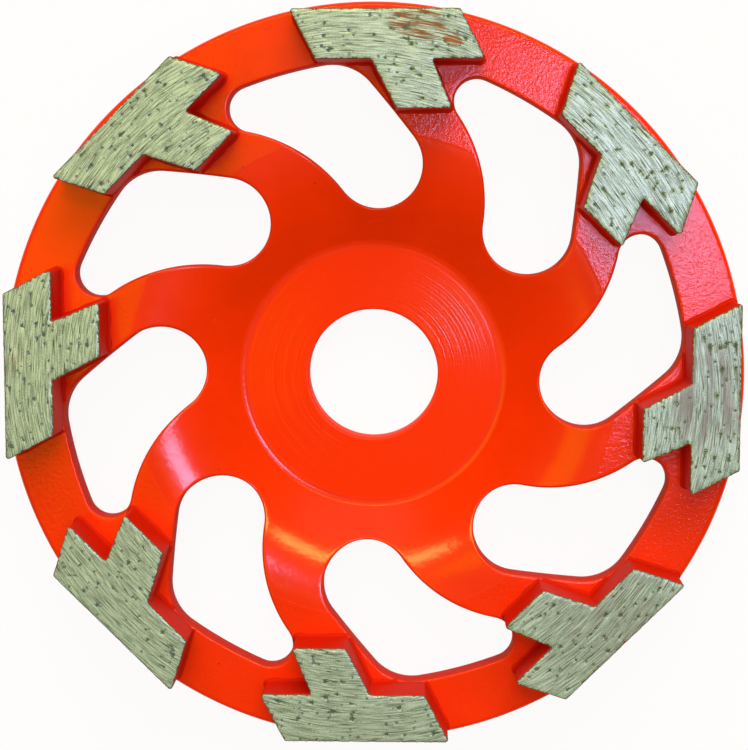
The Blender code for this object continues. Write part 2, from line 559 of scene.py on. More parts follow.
def ring_tree():
    """Sets copies of a sector round the axis and joins them."""
    tree, given = new_group(
        "Sector Ring", "GeometryNodeTree",
        [
            ("Sector", "Geometry"), ("Count", "Int", COUNT),
            ("Weld Distance", "Float", WELD), ("Finish", "Material"),
        ],
        [("Ring", "Geometry")],
    )
    points = add(tree, "GeometryNodePoints", set={"Count": given["Count"]})
    index = add(tree, "GeometryNodeInputIndex").outputs[0]
    pitch = maths(tree, "DIVIDE", 2 * pi, given["Count"])
    turn = add(
        tree, "ShaderNodeCombineXYZ", set={"Z": maths(tree, "MULTIPLY", index, pitch)}
    )
    rotation = add(tree, "FunctionNodeEulerToRotation", set={"Euler": turn.outputs[0]})
    copies = add(
        tree, "GeometryNodeInstanceOnPoints",
        set={
            "Points": points.outputs[0],
            "Instance": given["Sector"],
            "Rotation": rotation.outputs[0],
        },
    )
    real = add(tree, "GeometryNodeRealizeInstances", set={"Geometry": copies.outputs[0]})
    welded = add(
        tree, "GeometryNodeMergeByDistance",
        set={"Geometry": real.outputs[0], "Distance": given["Weld Distance"]},
    )
    return finish_tree(tree, welded.outputs[0], given["Finish"])


def grit_tree():
    """Sets a crystal on each given point and scatters small ones over a face."""
    tree, given = new_group(
        "Diamond Grit", "GeometryNodeTree",
        [
            ("Places", "Geometry"), ("Ground Faces", "Object"), ("Density", "Float", 260000.0),
            ("Large Size", "Float", 0.13 * MM), ("Small Size", "Float", 0.05 * MM),
            ("Seed", "Int", 5), ("Finish", "Material"),
        ],
        [("Crystals", "Geometry")],
    )
    crystal = add(tree, "GeometryNodeMeshIcoSphere", set={"Radius": 1.0, "Subdivisions": 1})
    faces = add(
        tree, "GeometryNodeObjectInfo", transform_space="ORIGINAL",
        set={"Object": given["Ground Faces"]},
    )
    scatter = add(
        tree, "GeometryNodeDistributePointsOnFaces", distribute_method="RANDOM",
        set={
            "Mesh": faces.outputs["Geometry"],
            "Density": given["Density"],
            "Seed": given["Seed"],
        },
    )
    parts = []
    for source, size in (
        (given["Places"], given["Large Size"]),
        (scatter.outputs["Points"], given["Small Size"]),
    ):
        spread = add(
            tree, "FunctionNodeRandomValue", data_type="FLOAT_VECTOR",
            set={0: (0.6, 0.6, 0.4), 1: (1.2, 1.2, 0.8), "Seed": given["Seed"]},
        )
        scaled = add(
            tree, "ShaderNodeVectorMath", operation="SCALE",
            set={0: spread.outputs[0], "Scale": size},
        )
        turn = add(
            tree, "FunctionNodeRandomValue", data_type="FLOAT_VECTOR",
            set={0: (-0.35, -0.35, 0.0), 1: (0.35, 0.35, 2 * pi)},
        )
        rotation = add(tree, "FunctionNodeEulerToRotation", set={"Euler": turn.outputs[0]})
        placed = add(
            tree, "GeometryNodeInstanceOnPoints",
            set={
                "Points": source,
                "Instance": crystal.outputs["Mesh"],
                "Rotation": rotation.outputs[0],
                "Scale": scaled.outputs[0],
            },
        )
        parts.append(placed.outputs[0])
    joined = add(tree, "GeometryNodeJoinGeometry")
    for part in parts:
        tree.links.new(part, joined.inputs[0])
    real = add(tree, "GeometryNodeRealizeInstances", set={"Geometry": joined.outputs[0]})
    return finish_tree(tree, real.outputs[0], given["Finish"])


# Finishes


def ramp(tree, value, stops):
    """Maps a value to a colour; stops are pairs of position and colour."""
    node = add(tree, "ShaderNodeValToRGB", set={0: value})
    bar = node.color_ramp
    while len(bar.elements) < len(stops):
        bar.elements.new(1.0)
    for element, (position, colour) in zip(bar.elements, stops):
        element.position = position
        element.color = (*colour, 1.0)
    return node.outputs[0]


def between(tree, value, low, high):
    """Zero below low, one above high, and smooth in between."""
    node = add(
        tree, "ShaderNodeMapRange", interpolation_type="SMOOTHSTEP",
        set={"Value": value, "From Min": low, "From Max": high},
    )
    return node.outputs[0]


def mix_colour(tree, share, first, second, blend="MIX"):
    node = add(
        tree, "ShaderNodeMix", data_type="RGBA", blend_type=blend,
        set={0: share, 6: first, 7: second},
    )
    return node.outputs[2]


def mix_value(tree, share, first, second):
    return add(tree, "ShaderNodeMix", set={0: share, 2: first, 3: second}).outputs[0]


def noise_at(tree, vector, scale, detail=2.0, roughness=0.5):
    node = add(
        tree, "ShaderNodeTexNoise",
        set={"Vector": vector, "Scale": scale, "Detail": detail, "Roughness": roughness},
    )
    return node.outputs["Fac"]


def paint_group():
    """Sprayed paint: tone, specks of dirt, painted glints, orange peel. The group is made only
    once.
    """
    if "Sprayed Paint" in bpy.data.node_groups:
        return bpy.data.node_groups["Sprayed Paint"]
    tree, given = new_group(
        "Sprayed Paint", "ShaderNodeTree",
        [
            ("Place", "Vector"), ("Paint", "Color", (0.92, 0.030, 0.0, 1.0)),
            ("Thin Paint", "Color", (0.55, 0.008, 0.0, 1.0)), ("Thinness", "Float", 0.0),
            ("Peel Scale", "Float", 1250.0), ("Specks", "Float", 1.0),
        ],
        [("Colour", "Color"), ("Roughness", "Float"), ("Height", "Float")],
    )
    place, thinness_and_shade = given["Place"], given["Thinness"]
    broad = noise_at(tree, place, 95.0, 3.0)
    shade = ramp(tree, broad, [(0.3, (0.92,) * 3), (0.7, (1.05,) * 3)])
    toned = mix_colour(tree, 1.0, given["Paint"], shade, "MULTIPLY")
    # thin paint on round edges; spread over whole walls and flanks it is painted shade
    thinned_and_shaded = mix_colour(tree, thinness_and_shade, toned, given["Thin Paint"])
    cells = add(tree, "ShaderNodeTexVoronoi", set={"Vector": place, "Scale": 420.0}).outputs
    split = add(tree, "ShaderNodeSeparateColor", set={0: cells["Color"]}).outputs
    dot = between(tree, cells["Distance"], 0.075, 0.03)
    dirt = maths(tree, "MULTIPLY", dot, between(tree, split[0], 0.86, 0.88))
    dirt = maths(tree, "MULTIPLY", dirt, given["Specks"])
    # painted highlight: a few specks take a bright orange as painted glints
    glint = maths(tree, "MULTIPLY", dot, between(tree, split[1], 0.95, 0.96))
    glint = maths(tree, "MULTIPLY", glint, given["Specks"])
    specked = mix_colour(tree, dirt, thinned_and_shaded, TINTS["dirt"])
    specked = mix_colour(tree, glint, specked, TINTS["glint"])
    peel = noise_at(tree, place, given["Peel Scale"], 2.0, 0.45)
    height = maths(tree, "MULTIPLY_ADD", noise_at(tree, place, 330.0, 1.0), 0.9, peel)
    height = maths(tree, "MULTIPLY_ADD", glint, 0.5, height)
    rough = maths(tree, "MULTIPLY_ADD", broad, 0.05, 0.075)
    rough = maths(tree, "MULTIPLY_ADD", dirt, 0.4, rough)
    rough = maths(tree, "MULTIPLY_ADD", thinness_and_shade, 0.72, rough)
    add(tree, "NodeGroupOutput", set={"Colour": specked, "Roughness": rough, "Height": height})
    arrange(tree)
    return tree


def new_material(name):
    material = bpy.data.materials.new(name)
    material.use_nodes = True
    tree = material.node_tree
    return material, tree, tree.nodes["Principled BSDF"]


def relief(tree, height, depth):
    """A normal from a height of zero to one, at this depth."""
    return add(tree, "ShaderNodeBump", set={"Height": height, "Distance": depth}).outputs[0]


def cup_paint(colours, sizes):
    """Glossy paint over turned and pressed steel."""
    material, tree, shader = new_material("orange_paint")
    place = add(tree, "ShaderNodeTexCoord").outputs["Object"]
    # mark: thin paint on round edges and in the bore, painted shade down the window walls
    thin = add(tree, "ShaderNodeAttribute", attribute_name="mark").outputs["Fac"]
    split = add(tree, "ShaderNodeSeparateXYZ", set={0: place}).outputs
    flat = add(tree, "ShaderNodeCombineXYZ", set={"X": split["X"], "Y": split["Y"]})
    radius = add(
        tree, "ShaderNodeVectorMath", operation="LENGTH", set={0: flat.outputs[0]}
    ).outputs["Value"]
    skin = add(
        tree, "ShaderNodeGroup", node_tree=paint_group(),
        set={
            "Place": place, "Paint": tuple(colours.paint),
            "Thin Paint": tuple(colours.paint_thin_and_shade), "Thinness": thin,
        },
    )

    # relief: turned lines on the hub, grain on the rim flat, orange peel between
    turned = between(tree, radius, *TURNED_FADE)
    rings = add(
        tree, "ShaderNodeTexNoise", noise_dimensions="1D",
        set={"W": radius, "Scale": 2600.0, "Detail": 2.0, "Roughness": 0.6},
    ).outputs["Fac"]
    rings = maths(tree, "SUBTRACT", rings, 0.5)
    rings = maths(tree, "MULTIPLY", rings, turned)
    rim = between(tree, radius, sizes.flat_radius - 0.2 * MM, sizes.flat_radius + 0.3 * MM)
    grain = noise_at(tree, place, 1600.0, 4.0, 0.6)
    even = maths(tree, "MULTIPLY_ADD", turned, -0.34, 0.42)
    even = maths(tree, "MULTIPLY", skin.outputs["Height"], even)
    grainy = maths(tree, "MULTIPLY_ADD", grain, 1.35, even)
    height = mix_value(tree, rim, even, grainy)
    height = maths(tree, "MULTIPLY_ADD", rings, 0.55, height)

    # the shoulder is the roughest, then the rim, and the hub keeps the group's own value
    rough = maths(tree, "MULTIPLY_ADD", turned, -0.05, skin.outputs["Roughness"])
    rough = maths(tree, "ADD", rough, maths(tree, "MULTIPLY_ADD", rim, -0.025, 0.05))
    # painted light: the hub takes a lighter orange, as it lies open to more light than the rim
    colour = mix_colour(tree, turned, skin.outputs["Colour"], TINTS["turned"])
    normal = relief(tree, height, PAINT_RELIEF)
    feed(tree, shader, {"Base Color": colour, "Roughness": rough, "Normal": normal})
    arrange(tree)
    return material


def segment_finish(colours):
    """Bare ground metal on top, ragged paint on the flanks."""
    material, tree, shader = new_material("sintered_diamond")
    place = add(tree, "ShaderNodeTexCoord").outputs["Object"]
    marks = {}
    for name in ("ground", "mark", "smear", "cool"):
        marks[name] = add(tree, "ShaderNodeAttribute", attribute_name=name).outputs["Fac"]
    along = add(tree, "ShaderNodeUVMap", uv_map="grind").outputs["UV"]

    def streaks(scale_along, scale_across, detail):
        mapped = add(
            tree, "ShaderNodeMapping",
            set={"Vector": along, "Scale": (scale_along, scale_across, 1.0)},
        ).outputs[0]
        return noise_at(tree, mapped, 1.0, detail, 0.55)

    # grinding lines: fine and coarse ones, bright ones, deep scores
    fine, coarse, scored = streaks(0.28, 5.0, 1.5), streaks(0.07, 1.1, 2.0), streaks(0.24, 4.2, 1.0)
    grain = noise_at(tree, place, 5200.0)
    lines = maths(tree, "MULTIPLY_ADD", coarse, 0.25, fine)
    lines = maths(tree, "MULTIPLY_ADD", grain, 0.45, lines)
    tone = between(tree, lines, 0.66, 1.02)
    score = between(tree, scored, 0.38, 0.31)
    cool = maths(tree, "MULTIPLY", marks["cool"], between(tree, coarse, 0.4, 0.6))
    smear = maths(tree, "ADD", marks["smear"], streaks(0.22, 2.6, 3.0))
    rust = between(tree, smear, 1.04, 1.20)

    # soft grey-green hollows, too shallow to be shapes
    cells = add(
        tree, "ShaderNodeTexVoronoi", voronoi_dimensions="2D",
        set={"Vector": place, "Scale": 470.0},
    )
    split = add(tree, "ShaderNodeSeparateColor", set={0: cells.outputs["Color"]})
    ragged = noise_at(tree, place, 4200.0, 3.0)
    away = maths(tree, "MULTIPLY_ADD", ragged, 0.34, cells.outputs["Distance"])
    reach = maths(tree, "MULTIPLY_ADD", split.outputs[1], 0.10, 0.21)
    near = between(tree, maths(tree, "SUBTRACT", reach, away), -0.03, 0.05)
    hollow = maths(tree, "MULTIPLY", near, between(tree, split.outputs[0], 0.36, 0.38))
    hollow = maths(tree, "MULTIPLY", hollow, 0.8)
    # painted shade: the rounded rim of the ground face is darkened
    edge = between(tree, marks["ground"], 0.998, 0.90)
    pit = maths(tree, "MULTIPLY_ADD", ragged, 0.9, marks["mark"])
    pit = between(tree, pit, 0.84, 1.16)
    metal = mix_colour(tree, tone, tuple(colours.metal_dark), tuple(colours.metal))
    for share, tint in (
        (between(tree, fine, 0.62, 0.74), "bright line"), (score, "score"), (cool, "cool"),
        (rust, "rust"), (between(tree, smear, 1.23, 1.31), "hot rust"), (hollow, "hollow"),
        (edge, "edge"), (pit, "pit"),
    ):
        metal = mix_colour(tree, share, metal, TINTS[tint])

    # paint comes up the flanks and ends in a ragged line at the ground face; the flanks take the
    # darker thin paint as painted shade
    skin = add(
        tree, "ShaderNodeGroup", node_tree=paint_group(),
        set={
            "Place": place, "Paint": tuple(colours.paint), "Thinness": 0.8,
            "Thin Paint": tuple(colours.paint_thin_and_shade), "Peel Scale": 1500.0,
        },
    )
    chips = noise_at(tree, place, 1900.0, 3.0, 0.65)
    bare = maths(tree, "ADD", marks["ground"], chips)
    bare = between(tree, bare, 0.98, 1.04)
    colour = mix_colour(tree, bare, skin.outputs["Colour"], metal)
    rough = maths(tree, "MULTIPLY_ADD", lines, -0.12, 0.45)
    rough = mix_value(tree, bare, skin.outputs["Roughness"], rough)
    dull = maths(tree, "MAXIMUM", rust, maths(tree, "MAXIMUM", pit, edge))
    metallic = maths(tree, "SUBTRACT", 0.36, dull, clamp=True)
    metallic = maths(tree, "MULTIPLY", metallic, bare)
    low = maths(tree, "MULTIPLY_ADD", score, -0.8, lines)
    low = maths(tree, "MULTIPLY_ADD", hollow, -0.4, low)
    height = maths(tree, "MULTIPLY", skin.outputs["Height"], 0.5)
    height = mix_value(tree, bare, height, low)
    feed(tree, shader, {
        "Base Color": colour, "Roughness": rough, "Metallic": metallic,
        "Specular IOR Level": 0.15, "Normal": relief(tree, height, METAL_RELIEF),
    })
    arrange(tree)
    return material


def grit_finish():
    """Small dark green crystals with bright ones among them."""
    material, tree, shader = new_material("diamond_crystal")
    place = add(tree, "ShaderNodeTexCoord").outputs["Object"]
    cells = add(tree, "ShaderNodeTexVoronoi", set={"Vector": place, "Scale": 700.0})
    split = add(tree, "ShaderNodeSeparateColor", set={0: cells.outputs["Color"]}).outputs
    colour = ramp(tree, split[0], [
        (0.0, (0.04, 0.06, 0.045)), (0.7, (0.08, 0.11, 0.08)),
        (0.9, (0.16, 0.20, 0.15)), (0.98, (0.60, 0.70, 0.66)),
    ])
    rough = maths(tree, "MULTIPLY_ADD", split[1], 0.25, 0.35)
    feed(tree, shader, {"Base Color": colour, "Roughness": rough})
    arrange(tree)
    return material


def floor_finish(colours):
    """Plain pale floor with the faintest mottle."""
    material, tree, shader = new_material("pale_floor")
    place = add(tree, "ShaderNodeTexCoord").outputs["Object"]
    shade = ramp(tree, noise_at(tree, place, 14.0), [(0.35, (0.985,) * 3), (0.65, (1.0,) * 3)])
    colour = mix_colour(tree, 1.0, tuple(colours.floor), shade, "MULTIPLY")
    feed(tree, shader, {"Base Color": colour, "Roughness": 0.9, "Specular IOR Level": 0.1})
    # most of what is seen is plain white at a strength of one, so the shadow stays faint
    path = add(tree, "ShaderNodeLightPath").outputs
    seen = maths(tree, "MAXIMUM", path["Is Camera Ray"], path["Is Glossy Ray"])
    seen = maths(tree, "MAXIMUM", seen, path["Is Transmission Ray"])
    share = maths(tree, "MULTIPLY", seen, 0.93)
    white = add(tree, "ShaderNodeEmission", set={"Strength": 1.0}).outputs[0]
    both = add(tree, "ShaderNodeMixShader", set={0: share, 1: shader.outputs[0], 2: white})
    feed(tree, tree.nodes["Material Output"], {"Surface": both.outputs[0]})
    arrange(tree)
    return material


# Cup


def ring_rows(profile, angles):
    """One row of points for each radius and height of a profile."""
    return [[(r * cos(a), r * sin(a), z) for a in angles] for r, z in profile]


def arc_profile(centre, radius, first, last, steps):
    """Points of an arc between two angles in degrees."""
    points = []
    for i in range(steps + 1):
        angle = radians(first + (last - first) * i / steps)
        points.append((centre[0] + radius * cos(angle), centre[1] + radius * sin(angle)))
    return points


def groove_height(s, radius):
    """Depth of the turning marks at a radius: two uneven pitches beat against each other."""
    mm = radius / MM
    wave = sin(2 * pi * mm / 0.83) + 0.8 * sin(2 * pi * mm / 0.61 + 1.3)
    return s.groove_depth * (wave + 0.5 * sin(2 * pi * mm / 1.9)) - 2.3 * s.groove_depth


def land_height(s, radius):
    """Height above the hub of the fillet and the turned land."""
    start = s.recess_radius - s.land_width - 0.2 * MM
    fillet, slope = 0.6 * MM, tan(s.land_slope)
    along = radius - start
    if along < fillet:
        return 0.5 * slope * along * along / fillet
    return 0.5 * slope * fillet + slope * (along - fillet)


def hub_profile(s, front, back, front_r, back_r):
    """From the shoulder down over the turned land, through the bore and back out."""
    profile = []
    crest, start = s.recess_radius - 0.1 * MM, s.recess_radius - s.land_width - 0.2 * MM
    for i in range(5):
        r = front_r + (s.recess_radius + 0.15 * MM - front_r) * i / 4
        profile.append((r, front(r)))
    for i in range(12):
        r = crest + (start - crest) * i / 11
        profile.append((r, s.hub_thickness + land_height(s, r)))
    end = s.bore_radius + BORE_EDGE
    count = round((start - end) / (0.15 * MM))
    for i in range(1, count):
        r = start + (end - start) * i / count
        fade = smooth(0, 3, i) * smooth(0, 3, count - i)
        profile.append((r, s.hub_thickness + groove_height(s, r) * fade))
    b, t = s.bore_radius, s.hub_thickness
    profile += arc_profile((b + BORE_EDGE, t - BORE_EDGE), BORE_EDGE, 90, 180, 5)
    profile += [(b, t * 0.6), (b, t * 0.3)]
    profile += arc_profile((b + BORE_EDGE, BORE_EDGE), BORE_EDGE, 180, 270, 5)
    edge = s.hub_back_radius - 0.6 * MM
    for i in range(1, 13):
        profile.append((b + BORE_EDGE + (edge - b - BORE_EDGE) * i / 12, 0.0))
    lift = back_r - s.hub_back_radius
    for share in (0.0, 0.25, 0.5, 0.75, 1.0):
        r = s.hub_back_radius + lift * share
        profile.append((r, max(back(r), 0.0) + 0.1 * MM * (1 - share) ** 2))
    profile[-1] = (back_r, back(back_r))
    return profile


def rim_profile(s, front_r):
    """From the rim flat over the outside to the back."""
    e, r, top, low = s.rim_edge, s.wheel_radius, s.rim_top, s.rim_top - s.wall
    profile = [(front_r, top), ((front_r + r - e) / 2, top)]
    profile += arc_profile((r - e, top - e), e, 90, 0, 6)
    profile.append((r, (top + low) / 2))
    profile += arc_profile((r - e, low + e), e, 0, -90, 6)
    profile += [((front_r + r - e) / 2, low), (front_r, low)]
    return profile


def cup_side(angles, inner_r, outer_r, edge, rows, loop):
    """Points and triangles of one side of the sector, round its window."""
    radii = [inner_r + (outer_r - inner_r) * i / rows for i in range(rows + 1)]
    hole = [p + n * edge for p, n in loop]
    border = [polar(inner_r, a) for a in angles]
    border += [polar(r, angles[-1]) for r in radii[1:-1]]
    border += [polar(outer_r, a) for a in reversed(angles)]
    border += [polar(r, angles[0]) for r in reversed(radii[1:-1])]
    middle = [polar(r, a) for r in radii[1:-1] for a in angles[1:-1]]
    middle = [p for p in middle if not inside(hole, p)]
    collar = [p + n * (edge + 0.35 * MM) for p, n in loop[::2]]
    collar = clear_of([border], collar, 0.3 * MM)
    middle = clear_of([hole, collar], middle, 0.38 * MM)

    def keep(point):
        return point.length > inner_r and not inside(hole, point)

    return fill_between([border, hole], middle + collar, keep)


def window_wall(s, front, back, loop):
    """Rows of points down the wall of the window with its round edges, and their marks."""

    def edge_row(height, edge, angle, side):
        row = []
        for p, n in loop:
            q = p + n * edge * (1 - sin(angle))
            row.append((q.x, q.y, height(q.length) - side * edge * (1 - cos(angle))))
        return row

    quarter = [radians(90 * i / 5) for i in range(6)]
    rows = [edge_row(front, s.window_edge, a, 1) for a in quarter]
    top, low = rows[-1], edge_row(back, BACK_WINDOW_EDGE, quarter[-1], -1)
    for share in (0.25, 0.5, 0.75):
        rows.append([(a[0], a[1], a[2] + (b[2] - a[2]) * share) for a, b in zip(top, low)])
    for angle in reversed(quarter[::2] + [quarter[-1]]):
        rows.append(edge_row(back, BACK_WINDOW_EDGE, angle, -1))
    # the marks darken the paint: thin paint on the round edges, painted shade down the wall
    marks = [0.0, 0.0, 0.35, 0.6, 0.8, 0.9] + [0.95] * 3 + [0.9, 0.6, 0.4, 0.0]
    return rows, marks


def build_cup(context):
    """One sector with its window, set round the axis eight times."""
    s, colours = context.scene.cup_sizes, context.scene.wheel_colours
    front, back = skin_heights(s)
    step = PITCH / SECTOR_NODES
    angles = [SECTOR_START + i * step for i in range(SECTOR_NODES + 1)]
    front_r, back_r, outer_r = 24.6 * MM, 25.6 * MM, s.wheel_radius - 1.5 * MM
    loop = window_loop(s, 0.42 * MM)
    skin = Patchwork()
    for height, inner_r, edge, rows in (
        (front, front_r, s.window_edge, 48),
        (back, back_r, BACK_WINDOW_EDGE, 36),
    ):
        verts, faces = cup_side(angles, inner_r, outer_r, edge, rows, loop)
        skin.patch([(v.x, v.y, height(v.length)) for v in verts], faces)
    skin.strip(*window_wall(s, front, back, loop), closed=True)
    profile = hub_profile(s, front, back, front_r, back_r)
    bore = s.bore_radius + 0.3 * MM
    skin.strip(ring_rows(profile, angles), [0.85 if r < bore else 0.0 for r, _ in profile])
    profile = rim_profile(s, outer_r)
    skin.strip(ring_rows(profile, angles), [0.0] * len(profile))

    cup = new_object("cup", skin.mesh("cup", "mark"))
    set_through(cup, ring_tree(), {"Finish": cup_paint(colours, s), "Count": COUNT})
    close_skin(cup.data)
    # pressed steel isn't quite even
    for v in cup.data.vertices:
        away = v.co.xy.length
        if v.co.z > 2.0 * MM and s.recess_radius < away < s.wheel_radius - 1.0 * MM:
            share = smooth(s.recess_radius, s.cone_radius, away)
            v.co.z += share * MM * (0.008 * noise.noise(v.co * 190.0) - 0.006)
    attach(cup, "root")
    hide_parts("steel_body")


# Segments


def segment_corners(s, rim):
    """Corners of the segment that stands on +X, counterclockwise, with their rounding."""
    half, foot = s.bar_length / 2, s.bar_width + s.leg_length
    leg_side = half - 9.1 * MM

    def corner(depth, sideways, rounding):
        sideways = sideways - SEGMENT_SHIFT - SEGMENT_SLANT * depth
        return Vector((rim - RIM_SHELF - depth, sideways)), rounding * MM

    return [
        corner(0, half, 0.45),
        corner(s.bar_width, half, 0.4),
        corner(s.bar_width, leg_side, 0.3),
        corner(foot, leg_side, 0.4),
        corner(foot, leg_side - 9.1 * MM, 0.45),
        corner(s.bar_width, leg_side - 9.9 * MM, 0.3),
        corner(s.bar_width, -half, 0.55),
        corner(0, -half, 0.5),
    ]


def rounded_ring(ring, spacing):
    """Points and outward normals round a ring of rounded corners, counterclockwise."""
    bends = []
    for i, (corner, radius) in enumerate(ring):
        arrive = (corner - ring[i - 1][0]).normalized()
        leave = (ring[(i + 1) % len(ring)][0] - corner).normalized()
        turn = atan2(arrive.x * leave.y - arrive.y * leave.x, arrive.dot(leave))
        bends.append((corner, radius, arrive, leave, turn))
    points = []
    for i, (corner, radius, arrive, leave, turn) in enumerate(bends):
        reach = radius * tan(abs(turn) / 2)
        side = 1 if turn > 0 else -1
        start = corner - arrive * reach
        centre = start + Vector((-arrive.y, arrive.x)) * radius * side
        steps = max(3, ceil(abs(turn) * radius / (spacing * 0.6)))
        for j in range(steps + 1):
            spoke = Matrix.Rotation(turn * j / steps, 2) @ (start - centre)
            points.append((centre + spoke, spoke.normalized() * side))
        corner_after, radius_after, _, _, turn_after = bends[(i + 1) % len(bends)]
        first = corner + leave * reach
        last = corner_after - leave * radius_after * tan(abs(turn_after) / 2)
        pieces = max(2, round((last - first).length / spacing))
        normal = Vector((leave.y, -leave.x))
        for j in range(1, pieces):
            points.append((first + (last - first) * j / pieces, normal))
    return points


def pit_shapes(s, outline, random, lean):
    """Teardrop pits inside an outline: edge, middle and tail point of each, and its size."""
    low = Vector((min(p.x for p in outline), min(p.y for p in outline)))
    high = Vector((max(p.x for p in outline), max(p.y for p in outline)))
    taken, pits, tries = [], [], 0
    while len(pits) < s.pits and tries < 4000:
        tries += 1
        centre = Vector((random.uniform(low.x, high.x), random.uniform(low.y, high.y)))
        size = MM * random.choice((0.14, 0.17, 0.21, 0.26, 0.32)) * random.uniform(0.8, 1.15)
        tail = size * random.choice((1.4, 1.8, 2.6, 4.5))
        tangent = Vector((-centre.y, centre.x)).normalized()
        along = Matrix.Rotation(-lean, 2) @ tangent * random.choice((-1, -1, 1))
        across = Vector((-along.y, along.x))
        spine = [centre - along * size]
        spine += [centre + along * tail * share for share in (0.0, 0.35, 0.7, 1.0)]
        if not all(inside(outline, p) for p in spine):
            continue
        if clear_of([outline, taken], spine, 0.75 * MM) != spine:
            continue
        taken += spine
        edge = []
        for angle in (70, 110, 150, 180, 210, 250, 290):
            a = radians(angle)
            wobble = random.uniform(0.8, 1.2) * size
            edge.append(centre + along * cos(a) * wobble + across * sin(a) * wobble)
        middle, side = centre + along * tail * 0.5, across * size * 0.35
        edge += [middle - side, centre + along * tail, middle + side]
        pits.append((edge, centre, middle, size))
    return pits


def segment_wall(s, ring, foot, top, windows, seed):
    """Rows of points from the bead at the foot to the ragged top edge, and their marks."""

    def row(offset, z, wobble, wear=0.0):
        points = []
        for p, n in ring:
            lift = noise.noise(Vector((p.x, p.y, z)) / (1.3 * MM) + seed) * wobble
            chip = abs(noise.noise(Vector((p.x, p.y, 0)) / (0.5 * MM) + seed)) * wear
            q = p + n * (offset + lift - chip)
            points.append((q.x, q.y, z - 0.3 * chip if wear else z))
        return points

    # no bead where the segment stands over a window
    bead = [0.0 if any(inside(w, p + n * s.bead) for w in windows) else s.bead for p, n in ring]
    lower = [p + n * (b + 0.02 * MM) for (p, n), b in zip(ring, bead)]
    rows = [[(q.x, q.y, foot - 0.05 * MM) for q in lower]]
    for angle in (0, 22, 45, 68, 90):
        a = radians(angle)
        points = []
        for (p, n), b in zip(ring, bead):
            swell = 1 + 0.35 * noise.noise(Vector((p.x, p.y, 0)) / (2.2 * MM) + seed)
            q = p + n * b * swell * (1 - sin(a))
            points.append((q.x, q.y, foot + s.bead * swell * (1 - cos(a))))
        rows.append(points)
    start, end = foot + 1.5 * s.bead, top - 0.55 * MM
    rows += [row(0.0, start + (end - start) * i / 7, 0.05 * MM) for i in range(8)]
    ground = [0.0] * len(rows)
    for offset, drop, value, wear in TOP_EDGE:
        rows.append(row(offset * MM, top - drop * MM, 0.04 * MM * (drop > 0.1), wear * MM))
        ground.append(value)
    rows[-1] = [(x, y, top) for x, y, _ in rows[-1]]
    return rows, ground


def ground_points(edge, holes, centres):
    """Points for an even mesh of the ground face, clear of its edge and its pits."""
    step = 0.6 * MM
    low = Vector((min(p.x for p in edge), min(p.y for p in edge)))
    columns = int((max(p.x for p in edge) - low.x) / step) + 1
    level = int((max(p.y for p in edge) - low.y) / step) + 1
    places = [(i, j) for i in range(columns) for j in range(level)]
    # rows stand closer together than columns, so more rows follow
    places += [(i, j) for j in range(level, 60) for i in range(columns)]
    grid = [low + Vector((i + 0.5 * (j % 2), j * 0.866)) * step for i, j in places]
    grid = clear_of([edge], [p for p in grid if inside(edge, p)], 0.25 * MM)
    return clear_of(holes + [centres], grid, 0.3 * MM)


def build_segment(context, number, windows):
    """One segment with pits in its ground face, and the places of crystals in the pits."""
    s, cup = context.scene.segment_sizes, context.scene.cup_sizes
    top = s.height - GROUND_DROP
    ring = rounded_ring(segment_corners(s, cup.wheel_radius), 0.27 * MM)
    seed = Vector((number * 7.3, 0, 0))
    rows, ground = segment_wall(s, ring, cup.rim_top, top, windows, seed)
    skin = Patchwork()
    skin.strip(rows, ground, closed=True)
    lean = radians(SCRATCH_LEANS[number - 1])
    pits = pit_shapes(s, [p for p, _ in ring], Random(40 + number), lean)

    def key(point):
        return round(point.x / MM, 3), round(point.y / MM, 3)

    deep = {}  # depth and mark of the points of all pits
    for outline, centre, tail, size in pits:
        deep.update((key(p), (0.0, 0.6)) for p in outline)
        deep[key(centre)] = (0.45 * size, 1.0)
        deep[key(tail)] = (0.15 * size, 0.8)
    edge = [Vector((x, y)) for x, y, _ in rows[-1]]
    holes, centres, tails = ([pit[i] for pit in pits] for i in range(3))
    verts, faces = fill_between(
        [edge] + holes, ground_points(edge, holes, centres) + centres + tails,
        lambda p: inside(edge, p), 0.0000001,
    )
    found = [deep.get(key(v), (0.0, 0.0)) for v in verts]
    marks = [0.0] * len(skin.verts) + [mark for _, mark in found]
    verts = [(v.x, v.y, top - depth) for v, (depth, _) in zip(verts, found)]
    skin.patch(verts, faces, 1.0)
    skin.faces.append(tuple(range(len(ring))))

    name = "segment_%d" % number
    mesh = skin.mesh(name, "ground")
    point_values(mesh, "mark", marks)
    close_skin(mesh)
    turn = Matrix.Rotation((number - 1) * PITCH, 2)
    for v in mesh.vertices:
        v.co.xy = turn @ v.co.xy
    finish_marks(mesh, number)
    return new_object(name, mesh), [
        (*(turn @ centre), top - 0.35 * size) for _, centre, _, size in pits
    ]


# Smears of rust and paint on the ground faces: azimuth, radius, half angle, half width, weight
SMEARS = (
    (82.5, 58.5, 6.5, 3.0, 0.62),
    (76.5, 57.0, 2.2, 1.4, 0.68),
    (176.0, 58.5, 3.5, 2.4, 0.52),
    (186.0, 57.5, 3.5, 2.0, 0.45),
    (352.0, 56.5, 2.5, 2.0, 0.50),
    (28.0, 52.0, 1.5, 1.5, 0.42),
    (318.0, 55.0, 2.0, 1.6, 0.42),
)
# Purple-grey patches, in the same order
COOL_PATCHES = (
    (358.0, 55.0, 9.0, 6.0, 0.85),
    (315.0, 55.0, 12.0, 7.0, 0.45),
    (270.0, 58.0, 6.0, 3.0, 0.2),
)


